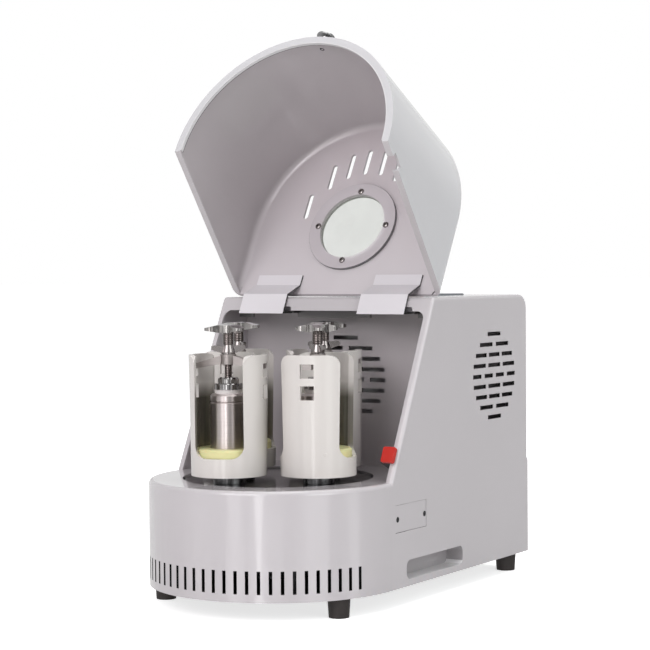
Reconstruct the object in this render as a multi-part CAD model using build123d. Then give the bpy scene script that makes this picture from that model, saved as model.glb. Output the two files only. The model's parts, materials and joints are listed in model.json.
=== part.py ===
from build123d import *
import os
from math import atan2, cos, degrees, hypot, pi, radians, sin, sqrt, tan

# Planetary ball mill for the bench. Front is -Y, right is +X, the feet stand on z = 0.
# The lid is built closed and then turned up about its hinge, which is its rest pose.

# ------------------------------------------------------------------ housing, mm
width = 300.0                # over the side walls; the front is a half round of this width
depth = 500.0                # front of the drum to the rear wall
foot_height = 22.0           # floor to the bottom rim of the housing
skirt_height = 121.5         # bottom rim to the deck
box_height = 328.0           # bottom rim to the top of the rear box
wall = 3.0                   # housing and lid shells
deck_rim_radius = 5.0
side_edge_radius = 4.0       # rounding of the rear box's side outline
nose_radius = 6.0            # top front edge of the rear box
rear_top_radius = 18.0
cheek_foot_back = 5.0        # foot of the sloping cheeks, behind the drum's centre
cheek_top_back = 105.0       # top of the cheeks, behind the drum's centre
cheek_flange = 8.0           # width of the flange down each cheek
nose_flange = 16.0           # height of the flange under the top front edge
flange_corner_radius = 10.0
deck_opening_radius = 111.0

# ------------------------------------------------------------------ vents
apron_slot_count = 29
apron_slot_pitch = 5.014     # degrees round the drum
apron_slot_width = 4.0
apron_slot_height = 25.4
apron_slot_centre = 21.9     # above the bottom rim
vent_row_pitch = 12.8
vent_slot_height = 5.0
vent_rows = ((4, 21.7, 8.5), (3, 32.0, 6.8), (3, 28.5, 6.0), (2, 33.4, 9.0), (1, 34.7, 0.0))
side_vent_inset = 92.0       # diamond's middle, in front of the rear wall
side_vent_drop = 98.5        # diamond's middle, below the top of the rear box
bulkhead_vent_drop = 101.5

# ------------------------------------------------------------------ fittings of the housing
bulkhead_behind_hinge = 35.0   # the open goose necks' bends swing in front of it
panel_thickness = 2.0
seat_gap = 0.3               # between a loose panel and the edge it drops into
tray_front_back = 37.0       # carry handle recess, behind the drum's centre
tray_length = 136.0
tray_low = 7.8               # above the bottom rim
tray_height = 22.0
tray_depth = 22.0
tray_wall = 2.0
tray_corner_radius = 8.0
access_front_back = 12.4
access_length = 71.3
access_low = 63.5
access_height = 31.5
access_recess = 0.5
foot_radius = 13.0
foot_tip_radius = 11.5
front_foot_inset = 31.0      # from the side walls
front_foot_ahead = 60.0      # in front of the drum's centre
rear_foot_inset = 18.0
rear_foot_ahead = 28.0       # in front of the rear wall
rear_opening_margin = 38.0   # from the rear box's sides and top
rear_opening_low = 40.0      # above the bottom rim
rear_opening_lap = 8.0

# ------------------------------------------------------------------ lid
lid_radius = 148.2           # outside of the lid's half round wall
lid_rim_gap = 2.0            # closed rim above the deck
lid_slope_gap = 1.5          # closed side edges in front of the cheek flanges
lid_top_step = 10.5          # lid plate below the top of the rear box
lid_edge_radius = 11.0
lid_flange = 8.0             # width of the rim and side edge flanges
lid_open_angle = 118.8
hinge_behind_nose = 12.0     # hinge axis, behind the rear box's top front edge
hinge_drop = 14.0            # hinge axis below the top of the rear box
window_back = 3.5            # window centre, behind the drum's centre
window_clear_radius = 44.0   # inside the hole's edging
window_edging = 2.0
window_pane_radius = 60.0    # clear plate screwed to the lid's inner face
window_pane_thickness = 4.5
lid_slot_count = 7
lid_slot_first = -75.2       # the row of slots starts left of the window
lid_slot_pitch = 23.2
lid_slot_width = 6.5
lid_slot_length = 35.5
lid_slot_circle = 76.5       # the slots' inner ends lie on this radius round the window
knob_radius = 10.0
knob_stem_radius = 6.0
knob_height = 7.0
knob_head = 3.0
knob_above_rim = 17.0

# ------------------------------------------------------------------ goose neck hinge
arm_inner = 52.5             # from the middle to the near edge of each arm
arm_width = 64.5
arm_thickness = 2.5
arm_leaf_length = 14.4       # lies on the lid plate
arm_leaf_start = 71.5        # closed, behind the drum's centre
arm_nose_clearance = 1.8
knuckle_radius = 5.5
hinge_pin_radius = 3.0
running_clearance = 0.05     # radial, of a pin or shaft in its bore
ear_thickness = 3.0
ear_gap = 0.4
hinge_strip_behind = 7.5     # strip behind the hinge axis
hinge_strip_height = 22.0
hinge_strip_web = 10.0       # its height where the goose necks swing under it
notch_near = 3.0             # cut-outs in the nose flange, past each goose neck's edges
notch_far = 8.0
notch_height = 5.0
notch_corner_radius = 4.0

# ------------------------------------------------------------------ interlock on the right cheek
button_width = 16.0
button_length = 18.5         # along the cheek
button_corner_radius = 2.0
button_cap = 4.4
button_stand_off = 3.4       # cap above the flange
button_travel = 3.0
button_up_slope = 31.0       # cap's middle, along the cheek from its foot
button_edge = 0.8            # cap's outer side, inboard of the housing's side
switch_width = 12.0
switch_length = 15.0
switch_depth = 24.0          # its top is flush with the flange
switch_lug_low = 21.0        # lug to the side wall, below the flange
switch_lug_height = 6.0
switch_well_depth = 11.0
stem_width = 6.0
stem_length = 9.0
stem_reach = 4.5             # below the flange
notch_clearance = 0.6

# ------------------------------------------------------------------ disk and gear train
disk_radius = 109.5
disk_thickness = 12.0
disk_below_deck = 2.0
gear_module = 3.0
gear_teeth = 24              # sun and planets alike: a jar turns twice as fast as the disk
gear_width = 14.0
gear_below_disk = 9.5
gear_backlash = 0.35         # taken off each tooth's thickness
station_count = 4
disk_turn = -16.8            # first station's bearing at rest, from the front towards the right
wing_turn = -57.2            # wings' bearing, from a station's radial line
planet_shaft_radius = 10.0
planet_flange_radius = 18.0
boss_radius = 20.0
boss_above_gear = 1.5
main_shaft_radius = 12.0
main_flange_radius = 30.0
main_flange_thickness = 6.0
bearing_barrel_radius = 28.0
bearing_flange_radius = 45.0
bearing_flange_thickness = 8.0
drive_plate_low = 38.0       # above the bottom rim
drive_plate_thickness = 8.0
drive_plate_half_width = 80.0
drive_plate_hole_gap = 8.0   # round the shafts that pass through it
post_radius = 8.0
post_inset = 12.0            # posts' middles from the plate's edges
pulley_low = 12.0
pulley_height = 18.0
driven_pulley_radius = 58.0
motor_pulley_radius = 19.0
pulley_flange = 3.0          # rims stand this far past the belt's seat
pulley_rim = 2.0
belt_thickness = 4.0
belt_clearance = 0.3
motor_back = 245.0
motor_radius = 46.0
motor_height = 120.0
motor_shaft_radius = 7.0
motor_shaft_length = 36.0    # above the drive plate
motor_flange = 100.0
motor_flange_thickness = 8.0
motor_edge_chamfer = 6.0

# ------------------------------------------------------------------ jar stations
seat_lift = 8.0              # seat's underside above the deck
seat_height = 137.0
seat_foot_radius = 43.0
seat_top_radius = 45.0
seat_wall = 4.5
seat_floor = 12.0
seat_window_height = 21.2    # window's bottom edge above the seat's underside
window_half_angle = 42.0
window_corner_radius = 14.0
wing_corner_radius = 12.0
wing_hole_width = 16.0
wing_hole_height = 15.8
upper_hole_low = 111.2       # above the seat's underside
lower_hole_low = 87.0
adaptor_height = 18.8
adaptor_clearance = 0.4
adaptor_floor = 5.5
jar_radius = 21.0
jar_height = 74.7
jar_wall = 3.5
jar_mouth_radius = 12.5
jar_groove_drop = 9.0
jar_groove = 1.2
seal_radius = 14.7
seal_height = 5.0
cap_radius = 16.0
cap_height = 6.9
cap_plug_depth = 4.0
pad_radius = 12.0
pad_height = 6.6
pad_edge = 2.0               # chamfer of its upper edge
pad_socket = 4.0             # depth of the hole that the screw's tip sits in
pad_gap = 0.2
bar_half_length = 43.3
bar_width = 10.0
bar_lug_height = 6.0
bar_boss_radius = 9.0
bar_boss_height = 11.5
bar_boss_rise = 10.1         # boss top above the upper hole's top edge
screw_radius = 4.0
screw_clearance = 0.1
nut_height = 10.0
nut_radius = 7.0
nut_wing_reach = 20.0
nut_wing_thickness = 3.5
nut_wing_tip = 5.0
nut_turn = 40.0              # nut's wings from the seat's wings
wheel_rise = 13.5            # wheel's underside above the lock nut
wheel_reach = 27.0
wheel_lobe_radius = 7.0
wheel_hub_radius = 13.0
wheel_thickness = 10.0
wheel_edge_drop = 4.0        # dome falls this far from the middle to the lobes' tips
wheel_edge_rise = 3.0        # underside rises this far from the hub to the lobes' tips
wheel_turn = 22.0            # wheel's first lobe from the seat's wings

# ------------------------------------------------------------------ controls and supply
control_length = 90.0
control_width = 150.0
control_thickness = 1.5
control_ahead = 30.0         # in front of the rear wall
inlet_width = 50.0
inlet_height = 32.0
inlet_across = -70.0
inlet_up = 70.0              # above the bottom rim
inlet_flange = 2.0
inlet_depth = 26.0
socket_width = 24.0
socket_height = 16.0
socket_depth = 18.0
socket_gap = 5.0             # between the socket and the rocker
rocker_width = 12.0
rocker_height = 20.0
rocker_depth = 8.0
rocker_tilt = 6.0            # either way from square
rocker_across = 15.0         # from the inlet's middle
rocker_gap = 0.4

# ------------------------------------------------------------------ derived places
overlap = 1.0                # cutters reach this far past the faces they open
radius = width / 2
axis_y = -depth / 2 + radius         # drum, disk and lid round share this axis
rear_y = depth / 2
deck_z = foot_height + skirt_height
top_z = foot_height + box_height
slope_run = cheek_top_back - cheek_foot_back
slope_rise = top_z - deck_z
slope_angle = degrees(atan2(slope_rise, slope_run))
slope_plane = Plane(
    origin=(0, axis_y + cheek_foot_back, deck_z),
    x_dir=(1, 0, 0),
    z_dir=(0, -sin(radians(slope_angle)), cos(radians(slope_angle))),
)
nose_low_z = top_z - nose_flange
hinge_y = axis_y + cheek_top_back + hinge_behind_nose
hinge_z = top_z - hinge_drop
bulkhead_y = hinge_y + bulkhead_behind_hinge
lid_rim_z = deck_z + lid_rim_gap
lid_top_z = top_z - lid_top_step
lid_inside_z = lid_top_z - wall
window_y = axis_y + window_back
gear_pitch_radius = gear_module * gear_teeth / 2
station_radius = 2 * gear_pitch_radius
disk_top_z = deck_z - disk_below_deck
disk_low_z = disk_top_z - disk_thickness
drive_top_z = foot_height + drive_plate_low + drive_plate_thickness
gear_top_z = disk_low_z - gear_below_disk
gear_low_z = gear_top_z - gear_width
motor_y = axis_y + motor_back
pulley_z = foot_height + pulley_low
seat_z = deck_z + seat_lift
seat_top_z = seat_z + seat_height
adaptor_z = seat_z + seat_floor
jar_z = adaptor_z + adaptor_floor
jar_top_z = jar_z + jar_height
cap_z = jar_top_z + seal_height
pad_z = cap_z + cap_height + pad_gap
upper_hole_top_z = seat_z + upper_hole_low + wing_hole_height
boss_top_z = upper_hole_top_z + bar_boss_rise
nut_z = boss_top_z + 0.3
wheel_z = nut_z + nut_height + wheel_rise


# ------------------------------------------------------------------ helpers
def side_slab(points, x_from, x_to):
    """Solid with an outline in the Y-Z plane, between two X positions."""
    outline = Polygon(*points, align=None)
    return extrude(Plane.YZ.offset(x_from) * outline, x_to - x_from, dir=(1, 0, 0))


def block(x_from, x_to, y_from, y_to, z_from, z_to):
    middle = Pos((x_from + x_to) / 2, (y_from + y_to) / 2, (z_from + z_to) / 2)
    return middle * Box(x_to - x_from, y_to - y_from, z_to - z_from)


def disc(r, z_from, z_to, x=0.0, y=axis_y):
    return Pos(x, y, z_from) * extrude(Circle(r), z_to - z_from)


def turned(points, x=0.0, y=axis_y):
    """Solid of revolution from (radius, z) points about a vertical line."""
    outline = Plane.XZ * Polygon(*points, align=None)
    return Pos(x, y) * revolve(outline, Axis.Z)


def half_round_plan(r, back_y):
    """Plan of the drum: a half round in front of a rectangle."""
    return Pos(0, axis_y) * Circle(r) + Pos(0, (axis_y + back_y) / 2) * Rectangle(2 * r, back_y - axis_y)


def slope_y(z, inward=0.0):
    """Y of the cheeks' front face at a height, moved inward by a distance square to it."""
    angle = radians(slope_angle)
    return axis_y + cheek_foot_back + (z - deck_z) / tan(angle) + inward / sin(angle)


def strip_outline(points, thickness):
    """Closed outline of a bent strip: its middle line widened, with mitred bends."""
    sides = ([], [])
    last = len(points) - 1
    for i, (y, z) in enumerate(points):
        before = points[max(i - 1, 0)]
        after = points[min(i + 1, last)]
        into = unit(y - before[0], z - before[1]) if i else unit(after[0] - y, after[1] - z)
        out = unit(after[0] - y, after[1] - z) if i < last else into
        mitre = unit(-(into[1] + out[1]), into[0] + out[0])
        reach = thickness / 2 / (mitre[0] * -into[1] + mitre[1] * into[0])
        for side, sign in zip(sides, (1, -1)):
            side.append((y + sign * reach * mitre[0], z + sign * reach * mitre[1]))
    return sides[0] + sides[1][::-1]


def unit(y, z):
    length = hypot(y, z)
    return y / length, z / length


def opened(shape):
    """Turn something built for the closed lid up to the lid's rest pose."""
    hinge = Pos(0, hinge_y, hinge_z)
    return hinge * Rot(-lid_open_angle, 0, 0) * hinge.inverse() * shape


def opened_point(y, z):
    """(y, z) of a closed lid's point once the lid is up."""
    angle = radians(-lid_open_angle)
    dy, dz = y - hinge_y, z - hinge_z
    return hinge_y + dy * cos(angle) - dz * sin(angle), hinge_z + dy * sin(angle) + dz * cos(angle)


def vent_cells():
    """(across, up, length) of every slot in the diamond of vents."""
    cells = []
    for row, (count, length, gap) in enumerate(vent_rows):
        for side in ((1, -1) if row else (1,)):
            for i in range(count):
                across = (i - (count - 1) / 2) * (length + gap)
                cells.append((across, side * row * vent_row_pitch, length))
    return cells


# ------------------------------------------------------------------ housing
def box_outline(inset, low_z):
    """Side outline of the rear box, moved inward by a wall, down to a height."""
    high_z = top_z - inset
    nose = (slope_y(high_z, inset), high_z)
    corner = (rear_y - inset, high_z)
    outline = Polygon(
        (slope_y(deck_z, inset), low_z), (slope_y(deck_z, inset), deck_z),
        nose, corner, (rear_y - inset, low_z), align=None,
    ) if low_z < deck_z else Polygon(
        (slope_y(deck_z, inset), deck_z), nose, corner, (rear_y - inset, deck_z), align=None,
    )
    outline = fillet(outline.vertices().sort_by_distance((*nose, 0))[0], nose_radius - inset)
    return fillet(outline.vertices().sort_by_distance((*corner, 0))[0], rear_top_radius - inset)


def housing_body():
    """Outer form: the low drum and the tall box behind it."""
    drum = Pos(0, 0, foot_height) * extrude(half_round_plan(radius, rear_y), skirt_height)
    drum = fillet(drum.edges().group_by(Axis.Z)[-1], deck_rim_radius)
    box = extrude(Plane.YZ * box_outline(0, foot_height), radius, both=True)
    outer = [
        edge for edge in box.edges()
        if abs(abs(edge.center().X) - radius) < 0.01 and edge.center().Z > deck_z - overlap
        and (edge.center().Y > slope_y(deck_z) + overlap)
    ]
    outer += [
        edge for edge in box.edges().filter_by(Axis.Z)
        if edge.center().Y > rear_y - overlap and edge not in outer
    ]
    return drum + fillet(outer, side_edge_radius)


def housing_hollow():
    """Everything taken out of the housing to make it a shell."""
    inner = radius - wall
    under = Pos(0, 0, foot_height - overlap) * extrude(
        half_round_plan(inner, rear_y - wall), skirt_height - wall + overlap)
    above = extrude(Plane.YZ * box_outline(wall, deck_z), inner, both=True)
    behind = block(-inner, inner, bulkhead_y + panel_thickness + 4, rear_y - wall,
                   deck_z - wall - overlap, deck_z + overlap)
    mouth_half = radius - cheek_flange
    mouth = block(-mouth_half, mouth_half, axis_y, hinge_y, deck_z, nose_low_z)
    mouth = fillet(mouth.edges().filter_by(Axis.Y).group_by(Axis.Z)[-1], flange_corner_radius)
    opening = disc(deck_opening_radius, deck_z - wall - overlap, deck_z + overlap)
    return [under, above, behind, mouth, opening]


def apron_slots():
    cutter = Pos(0, -radius, foot_height + apron_slot_centre) * Box(
        apron_slot_width, 4 * wall, apron_slot_height)
    middle = (apron_slot_count - 1) / 2
    return [
        Pos(0, axis_y) * Rot(0, 0, (i - middle) * apron_slot_pitch) * cutter
        for i in range(apron_slot_count)
    ]


def side_vents():
    """Each cutter opens the same slot in both side walls."""
    y = rear_y - side_vent_inset
    z = top_z - side_vent_drop
    return [
        Pos(0, y + across, z + up) * Box(width + 2 * overlap, length, vent_slot_height)
        for across, up, length in vent_cells()
    ]


def tray(side, inset):
    """Handle recess on one side: its space, or with an inset its walls' outer form."""
    y_from = axis_y + tray_front_back - inset
    z_from = foot_height + tray_low - inset
    reach = sorted((side * (radius - tray_depth - inset), side * (radius + overlap - 2 * inset)))
    space = block(*reach, y_from, y_from + tray_length + 2 * inset, z_from, z_from + tray_height + 2 * inset)
    return fillet(space.edges().filter_by(Axis.X), tray_corner_radius + inset)


def hinge_notches():
    """The goose necks pass through these cut-outs in the nose flange."""
    cuts = []
    for near, far in arm_edges():
        notch = block(near - notch_near, far + notch_far, axis_y + cheek_foot_back, hinge_y,
                      nose_low_z - overlap, nose_low_z + notch_height)
        cuts.append(fillet(notch.edges().filter_by(Axis.Y).group_by(Axis.Z)[-1], notch_corner_radius))
    return cuts


def access_window(gap):
    y_from = axis_y + access_front_back + gap
    z_from = foot_height + access_low + gap
    return block(radius - wall - overlap, radius + overlap, y_from, y_from + access_length - 2 * gap,
                 z_from, z_from + access_height - 2 * gap)


def housing_shell():
    shell = housing_body() - housing_hollow()
    shell += [tray(side, tray_wall) for side in (-1, 1)]
    shell -= [tray(side, 0) for side in (-1, 1)]
    half = radius - rear_opening_margin
    rear = block(-half, half, rear_y - wall - overlap, rear_y + overlap,
                 foot_height + rear_opening_low, top_z - rear_opening_margin)
    return shell - (apron_slots() + side_vents() + hinge_notches() + [access_window(0), rear])


def rear_panel():
    half = radius - rear_opening_margin + rear_opening_lap
    panel = block(-half, half, rear_y - wall - panel_thickness, rear_y - wall,
                  foot_height + rear_opening_low - rear_opening_lap,
                  top_z - rear_opening_margin + rear_opening_lap)
    hole = block(inlet_across - inlet_width / 2 + inlet_flange, inlet_across + inlet_width / 2 - inlet_flange,
                 rear_y - wall - 2 * panel_thickness, rear_y,
                 foot_height + inlet_up - inlet_height / 2 + inlet_flange,
                 foot_height + inlet_up + inlet_height / 2 - inlet_flange)
    return panel - hole


def chamber_bulkhead():
    half = radius - wall - seat_gap
    panel = block(-half, half, bulkhead_y, bulkhead_y + panel_thickness, deck_z, top_z - wall - seat_gap)
    z = top_z - bulkhead_vent_drop
    return panel - [
        Pos(across, bulkhead_y, z + up) * Box(length, 4 * panel_thickness, vent_slot_height)
        for across, up, length in vent_cells()
    ]


def base_frame():
    """Bottom plate with posts and the raised plate that carries the drive."""
    inset = wall + seat_gap
    frame = Pos(0, 0, foot_height) * extrude(half_round_plan(radius - inset, rear_y - inset), wall)
    half = drive_plate_half_width
    front_y, back_y = axis_y - half, motor_y + motor_flange / 2
    plate_low = foot_height + drive_plate_low
    plate = block(-half, half, front_y, back_y, plate_low, drive_top_z)
    plate -= disc(main_shaft_radius + drive_plate_hole_gap, plate_low - overlap, drive_top_z + overlap)
    plate -= disc(motor_shaft_radius + drive_plate_hole_gap, plate_low - overlap, drive_top_z + overlap,
                  y=motor_y)
    for x in (-half + post_inset, half - post_inset):
        for y in (front_y + post_inset, (front_y + back_y) / 2, back_y - post_inset):
            frame += disc(post_radius, foot_height + wall, plate_low, x, y)
    return frame + plate


def feet():
    places = [(side * (radius - front_foot_inset), axis_y - front_foot_ahead) for side in (-1, 1)]
    places += [(side * (radius - rear_foot_inset), rear_y - rear_foot_ahead) for side in (-1, 1)]
    outline = ((0, 0), (foot_tip_radius, 0), (foot_radius, foot_height), (0, foot_height))
    return [turned(outline, x, y) for x, y in places]


def access_plate():
    """Plate over a service hole, set a little into the side wall."""
    face = radius - access_recess
    return access_window(seat_gap) & block(radius - wall, face, axis_y, rear_y, 0, top_z)


# ------------------------------------------------------------------ hinge
def arm_edges():
    """X of the near and far edge of each goose neck."""
    return [(-arm_inner - arm_width, -arm_inner), (arm_inner, arm_inner + arm_width)]


def hinge_bracket():
    """Strip under the box's top with an ear each side of both goose necks, and the two pins."""
    strip_y = hinge_y + hinge_strip_behind
    under_top = top_z - wall
    half = radius - wall - 2 * side_edge_radius
    strip = block(-half, half, strip_y, strip_y + arm_thickness, under_top - hinge_strip_height, under_top)
    pins = []
    for near, far in arm_edges():
        for x in (near - ear_gap - ear_thickness, far + ear_gap):
            ear = block(x, x + ear_thickness, hinge_y - knuckle_radius, strip_y,
                        hinge_z - knuckle_radius, under_top)
            strip += ear
        pin = Pos(near - ear_gap - ear_thickness, hinge_y, hinge_z) * Rot(0, 90, 0) * extrude(
            Circle(hinge_pin_radius), far - near + 2 * (ear_gap + ear_thickness))
        pins.append(pin)
        swing = block(near - ear_gap, far + ear_gap, strip_y - overlap, strip_y + arm_thickness + overlap,
                      under_top - hinge_strip_height - overlap, under_top - hinge_strip_web)
        strip -= [pin, swing]
    return [strip] + pins


def hinge_arms():
    """Goose necks in the rest pose: leaf on the lid, over the nose, under it and round the pin."""
    leaf_z = lid_inside_z - arm_thickness / 2
    start = axis_y + arm_leaf_start
    over_z = top_z + arm_nose_clearance + arm_thickness / 2
    front_y = slope_y(nose_low_z) - arm_nose_clearance - arm_thickness
    under_z = hinge_z - knuckle_radius + arm_thickness / 2
    middle_line = [
        opened_point(start, leaf_z),
        opened_point(start + arm_leaf_length, leaf_z),
        (slope_y(top_z) - arm_nose_clearance, over_z),
        (front_y, under_z),
        (hinge_y, under_z),
    ]
    outline = strip_outline(middle_line, arm_thickness)
    arms = []
    for near, far in arm_edges():
        arm = side_slab(outline, near, far)
        knuckle = Pos(near, hinge_y, hinge_z) * Rot(0, 90, 0) * extrude(Circle(knuckle_radius), far - near)
        bore = Pos(near - overlap, hinge_y, hinge_z) * Rot(0, 90, 0) * extrude(
            Circle(hinge_pin_radius + running_clearance), far - near + 2 * overlap)
        arms.append(arm + knuckle - bore)
    return arms


# ------------------------------------------------------------------ lid, built closed
def lid_slots():
    cuts = []
    for i in range(lid_slot_count):
        x = lid_slot_first + i * lid_slot_pitch
        near = window_y - sqrt(lid_slot_circle ** 2 - x ** 2)
        slot = Pos(x, near - lid_slot_length / 2) * Rot(0, 0, 90) * SlotOverall(lid_slot_length, lid_slot_width)
        cuts.append(Pos(0, 0, lid_inside_z - overlap) * extrude(slot, wall + 2 * overlap))
    return cuts


def in_front_of_slope(clear, half_width, low_z, high_z):
    """Slab that ends a clearance in front of the cheeks' plane."""
    front = axis_y - width
    points = ((front, low_z), (slope_y(low_z, -clear), low_z), (slope_y(high_z, -clear), high_z), (front, high_z))
    return side_slab(points, -half_width, half_width)


def lid_form(r, low_z, high_z, edge_radius, clear):
    """Half round block with a rounded upper edge, cut off along the cheeks' slope."""
    form = Pos(0, 0, low_z) * extrude(half_round_plan(r, axis_y + cheek_top_back), high_z - low_z)
    upper = [
        edge for edge in form.edges().group_by(Axis.Z)[-1]
        if edge.center().Y < axis_y + cheek_top_back - overlap
    ]
    form = fillet(upper, edge_radius)
    return form & in_front_of_slope(clear, r + overlap, low_z - overlap, high_z + overlap)


def interlock_notch():
    """Bite out of the closed lid's right side edge, where the interlock's cap stands."""
    stands = button_stand_off + button_cap + notch_clearance
    reach = button_edge + button_width + notch_clearance
    return on_slope(radius - reach / 2, button_length + 2 * notch_clearance, reach, 0, stands)


def lid_shell():
    shell = lid_form(lid_radius, lid_rim_z, lid_top_z, lid_edge_radius, lid_slope_gap)
    inner = lid_form(lid_radius - wall, lid_rim_z + wall, lid_inside_z, lid_edge_radius - wall,
                     lid_slope_gap + wall)
    mouth_radius = lid_radius - lid_flange
    mouth = Pos(0, 0, lid_rim_z - overlap) * extrude(
        half_round_plan(mouth_radius, axis_y + cheek_top_back), wall + 2 * overlap)
    rear_mouth = side_slab(
        (
            (slope_y(lid_rim_z, -lid_slope_gap - 3 * wall), lid_rim_z - overlap),
            (slope_y(lid_rim_z) + overlap, lid_rim_z - overlap),
            (slope_y(lid_inside_z) + overlap, lid_inside_z),
            (slope_y(lid_inside_z, -lid_slope_gap - 3 * wall), lid_inside_z),
        ), -mouth_radius, mouth_radius)
    window = disc(window_clear_radius + window_edging, lid_inside_z - overlap, lid_top_z + overlap, y=window_y)
    return opened(shell - ([inner, mouth, rear_mouth, window, interlock_notch()] + lid_slots()))


def window_pane():
    return opened(disc(window_pane_radius, lid_inside_z - window_pane_thickness, lid_inside_z, y=window_y))


def window_ring():
    """Black edging round the hole in the lid."""
    outer = window_clear_radius + window_edging - seat_gap
    ring = disc(outer, lid_inside_z, lid_top_z, y=window_y)
    return opened(ring - disc(window_clear_radius, lid_inside_z - overlap, lid_top_z + overlap, y=window_y))


def lid_knob():
    """Low round pull on the front of the lid."""
    z = lid_rim_z + knob_above_rim
    outward = Plane(origin=(0, axis_y, z), x_dir=(1, 0, 0), z_dir=(0, -1, 0))
    face = sqrt(lid_radius ** 2 - knob_radius ** 2)
    stem = outward.offset(face) * extrude(Circle(knob_stem_radius), knob_height - knob_head)
    head = outward.offset(face + knob_height - knob_head) * extrude(Circle(knob_radius), knob_head)
    knob = stem + chamfer(head.edges().sort_by(Axis.Y)[0], knob_head / 3)
    return opened(knob - disc(lid_radius, z - 2 * knob_radius, z + 2 * knob_radius))


# ------------------------------------------------------------------ interlock
def interlock_middle_x():
    return radius - button_edge - button_width / 2


def stem_x():
    """The stem passes inboard of the cheek's flange."""
    return radius - cheek_flange - 1.0 - switch_width / 2


def on_slope(x, length, x_size, low, high):
    """Block on the right cheek, round the button's middle, between two heights over its flange."""
    return slope_plane * block(x - x_size / 2, x + x_size / 2, button_up_slope - length / 2,
                               button_up_slope + length / 2, low, high)


def interlock_switch():
    body = on_slope(stem_x(), switch_length, switch_width, -switch_depth, 0)
    reach = radius - wall - stem_x()
    lug = on_slope(stem_x() + reach / 2, switch_length, reach, -switch_lug_low, switch_lug_height - switch_lug_low)
    well = on_slope(stem_x(), stem_length + 2 * seat_gap, stem_width + 2 * seat_gap, -switch_well_depth, overlap)
    return body + lug - well


def interlock_button():
    cap = on_slope(interlock_middle_x(), button_length, button_width, button_stand_off,
                   button_stand_off + button_cap)
    cap = fillet(cap.edges().filter_by(Axis(slope_plane.origin, slope_plane.z_dir)), button_corner_radius)
    return cap + on_slope(stem_x(), stem_length, stem_width, -stem_reach, button_stand_off + overlap)


# ------------------------------------------------------------------ gear train and drive
def gear_outline(teeth, module, turn):
    """Outline of a spur gear with straight-flanked teeth; one tooth points along the turn."""
    pitch_r = teeth * module / 2
    half_tooth = (pi * module / 2 - gear_backlash) / 2 / pitch_r
    flank = tan(radians(20)) * module / pitch_r
    profile = (
        (pitch_r - 1.25 * module, half_tooth + 1.25 * flank),
        (pitch_r, half_tooth),
        (pitch_r + 0.95 * module, half_tooth - 1.05 * flank),
    )
    points = []
    for tooth in range(teeth):
        middle = radians(turn) + 2 * pi * tooth / teeth
        for r, half in profile:
            points.append((r, middle - half))
        for r, half in reversed(profile):
            points.append((r, middle + half))
    return Polygon(*[(r * sin(a), -r * cos(a)) for r, a in points], align=None)


def sun_gear():
    gear = Pos(0, axis_y, gear_low_z) * extrude(gear_outline(gear_teeth, gear_module, disk_turn), gear_width)
    return gear - disc(main_shaft_radius + 1, gear_low_z - overlap, gear_top_z + overlap)


def bearing_housing():
    outline = (
        (main_shaft_radius + running_clearance, drive_top_z),
        (bearing_flange_radius, drive_top_z),
        (bearing_flange_radius, drive_top_z + bearing_flange_thickness),
        (bearing_barrel_radius, drive_top_z + bearing_flange_thickness),
        (bearing_barrel_radius, gear_low_z),
        (main_shaft_radius + running_clearance, gear_low_z),
    )
    return turned(outline)


def pulley(r, bore, y):
    """Flanged belt pulley at the level of the belt."""
    top = pulley_z + pulley_height
    rim = r + pulley_flange
    outline = (
        (bore, pulley_z), (rim, pulley_z), (rim, pulley_z + pulley_rim), (r, pulley_z + pulley_rim),
        (r, top - pulley_rim), (rim, top - pulley_rim), (rim, top), (bore, top),
    )
    return turned(outline, y=y)


def main_shaft():
    """Shaft with the flange that carries the disk, and the driven pulley on its lower end."""
    flange_z = disk_low_z - main_flange_thickness
    shaft = disc(main_shaft_radius, pulley_z - pulley_rim, disk_low_z)
    shaft += disc(main_flange_radius, flange_z, disk_low_z)
    return [shaft, pulley(driven_pulley_radius, main_shaft_radius, axis_y)]


def motor():
    body = disc(motor_radius, drive_top_z, drive_top_z + motor_height, y=motor_y)
    body = chamfer(body.edges().group_by(Axis.Z)[-1], motor_edge_chamfer)
    half = motor_flange / 2
    body += block(-half, half, motor_y - half, motor_y + half, drive_top_z, drive_top_z + motor_flange_thickness)
    bore_top = drive_top_z + motor_shaft_length + 2 * overlap
    return body - disc(motor_shaft_radius + running_clearance, drive_top_z - overlap, bore_top, y=motor_y)


def motor_pulley():
    """Driving pulley and the motor's shaft."""
    hub = pulley(motor_pulley_radius, 0, motor_y)
    return hub + disc(motor_shaft_radius, pulley_z, drive_top_z + motor_shaft_length, y=motor_y)


def belt_loop(grow, z_from, z_to):
    driven = Pos(0, axis_y) * Circle(driven_pulley_radius + grow)
    driving = Pos(0, motor_y) * Circle(motor_pulley_radius + grow)
    return Pos(0, 0, z_from) * extrude(make_hull(driven.edges() + driving.edges()), z_to - z_from)


def drive_belt():
    low = pulley_z + pulley_rim + belt_clearance
    high = pulley_z + pulley_height - pulley_rim - belt_clearance
    outer = belt_loop(belt_clearance + belt_thickness, low, high)
    return outer - belt_loop(belt_clearance, low - overlap, high + overlap)


def station_bearing(index):
    return disk_turn + 360 / station_count * index


def station_place(index):
    """Middle of a station, turned so that its own +X runs across its wings."""
    angle = radians(station_bearing(index))
    x = station_radius * sin(angle)
    y = axis_y - station_radius * cos(angle)
    return Pos(x, y) * Rot(0, 0, station_bearing(index) + wing_turn - 90)


def sun_disk():
    disk = disc(disk_radius, disk_low_z, disk_top_z)
    disk = chamfer(disk.edges().group_by(Axis.Z)[-1], 1)
    for index in range(station_count):
        place = station_place(index)
        disk += place * disc(boss_radius, gear_top_z + boss_above_gear, disk_low_z, y=0)
        disk -= place * disc(planet_shaft_radius + running_clearance, gear_top_z, disk_top_z + overlap, y=0)
    return disk


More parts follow.
